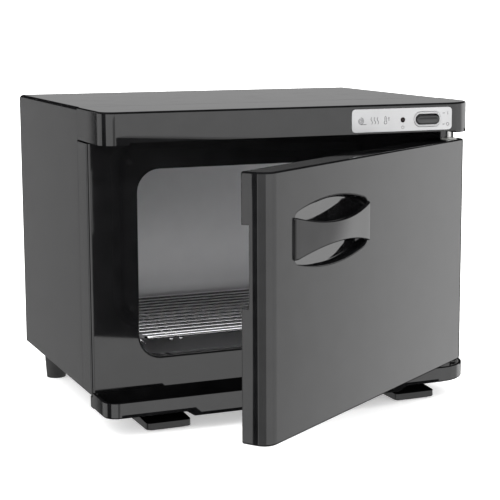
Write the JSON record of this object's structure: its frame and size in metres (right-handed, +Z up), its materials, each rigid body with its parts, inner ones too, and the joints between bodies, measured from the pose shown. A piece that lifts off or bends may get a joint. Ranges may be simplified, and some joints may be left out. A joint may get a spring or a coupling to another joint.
{
  "type": "hot towel cabinet",
  "caption": "Counter-top hot towel cabinet: glossy black case with a heated aluminium chamber behind a right-hinged door, rocker switch, wire shelf and slide-out drip tray.",
  "frame": {"origin": "on the standing surface, under the middle of the whole object as it stands with the door part open", "axes": "+Z up, the front with the door faces -Y, +X is to the right seen from the front"},
  "size_m": [0.35, 0.4468, 0.27],
  "materials": {
    "black_gloss": "deep black high-gloss moulding",
    "black_enamel": "black high-gloss enamel on steel sheet",
    "black_moulding": "black satin moulding",
    "zinc_steel": "zinc-plated steel",
    "silver_plate": "satin silver",
    "liner_aluminium": "brushed aluminium",
    "chrome_wire": "chrome",
    "rubber": "black rubber",
    "white_nylon": "natural nylon",
    "insulation": "fibre blanket",
    "wire_sleeve": "silicone sleeve",
    "lamp": "dark red lens"
  },
  "bodies": {
    "cabinet": {"outer_casing": "black_enamel", "rear_panel": "black_enamel", "base_pan": "zinc_steel", "front_frame": "black_gloss", "control_fascia": "black_gloss", "chamber_liner": "liner_aluminium", "insulation_jacket": "insulation", "heater_mat": "rubber", "thermostat": "white_nylon", "thermal_fuse": "wire_sleeve", "terminal_block": "white_nylon", "wiring_harness": "wire_sleeve", "cord_gland": "black_moulding", "gland_nut": "black_moulding", "control_plate": "silver_plate", "switch_housing": "black_moulding", "switch_pivot": "zinc_steel", "indicator_lens": "lamp", "indicator_led": "lamp", "tray_guides": "black_moulding", "front_foot_left": "black_moulding", "front_foot_right": "black_moulding", "front_foot_pads": "rubber", "rear_foot_left": "rubber", "rear_foot_right": "rubber", "strike_strip": "zinc_steel", "upper_hinge_bracket": "zinc_steel", "upper_hinge_pin": "zinc_steel", "lower_hinge_bracket": "zinc_steel", "lower_hinge_pin": "zinc_steel", "rear_panel_screws": "zinc_steel", "foot_screws": "zinc_steel", "guide_screws": "zinc_steel", "hinge_screws": "zinc_steel"},
    "door": {"door_shell": "black_gloss", "door_inner_panel": "black_moulding", "door_insulation": "insulation", "door_gasket": "rubber", "gasket_magnet": "rubber", "handle_cup": "black_gloss", "handle_grip": "black_gloss", "upper_hinge_bush": "white_nylon", "lower_hinge_bush": "white_nylon", "door_screws": "zinc_steel"},
    "rocker": {"rocker_switch": "black_moulding"},
    "tray": {"drip_tray": "black_gloss"},
    "rack": {"wire_rack": "chrome_wire"}
  },
  "joints": [
    {"name": "door_hinge", "type": "hinge", "parent": "cabinet", "child": "door", "pos_m": [0.156, -0.0334, 0], "axis": [0, 0, 1], "range_deg": [-34.7, 80]},
    {"name": "power_switch", "type": "hinge", "parent": "cabinet", "child": "rocker", "pos_m": [0.1215, -0.0506, 0.2562], "axis": [1, 0, 0], "range_deg": [-12, 0]},
    {"name": "tray_slide", "type": "slide", "parent": "cabinet", "child": "tray", "axis": [0, -1, 0], "range_m": [0, 0.04]},
    {"name": "rack_lift", "type": "slide", "parent": "cabinet", "child": "rack", "axis": [0, 0, 1], "range_m": [0, 0.06]}
  ]
}
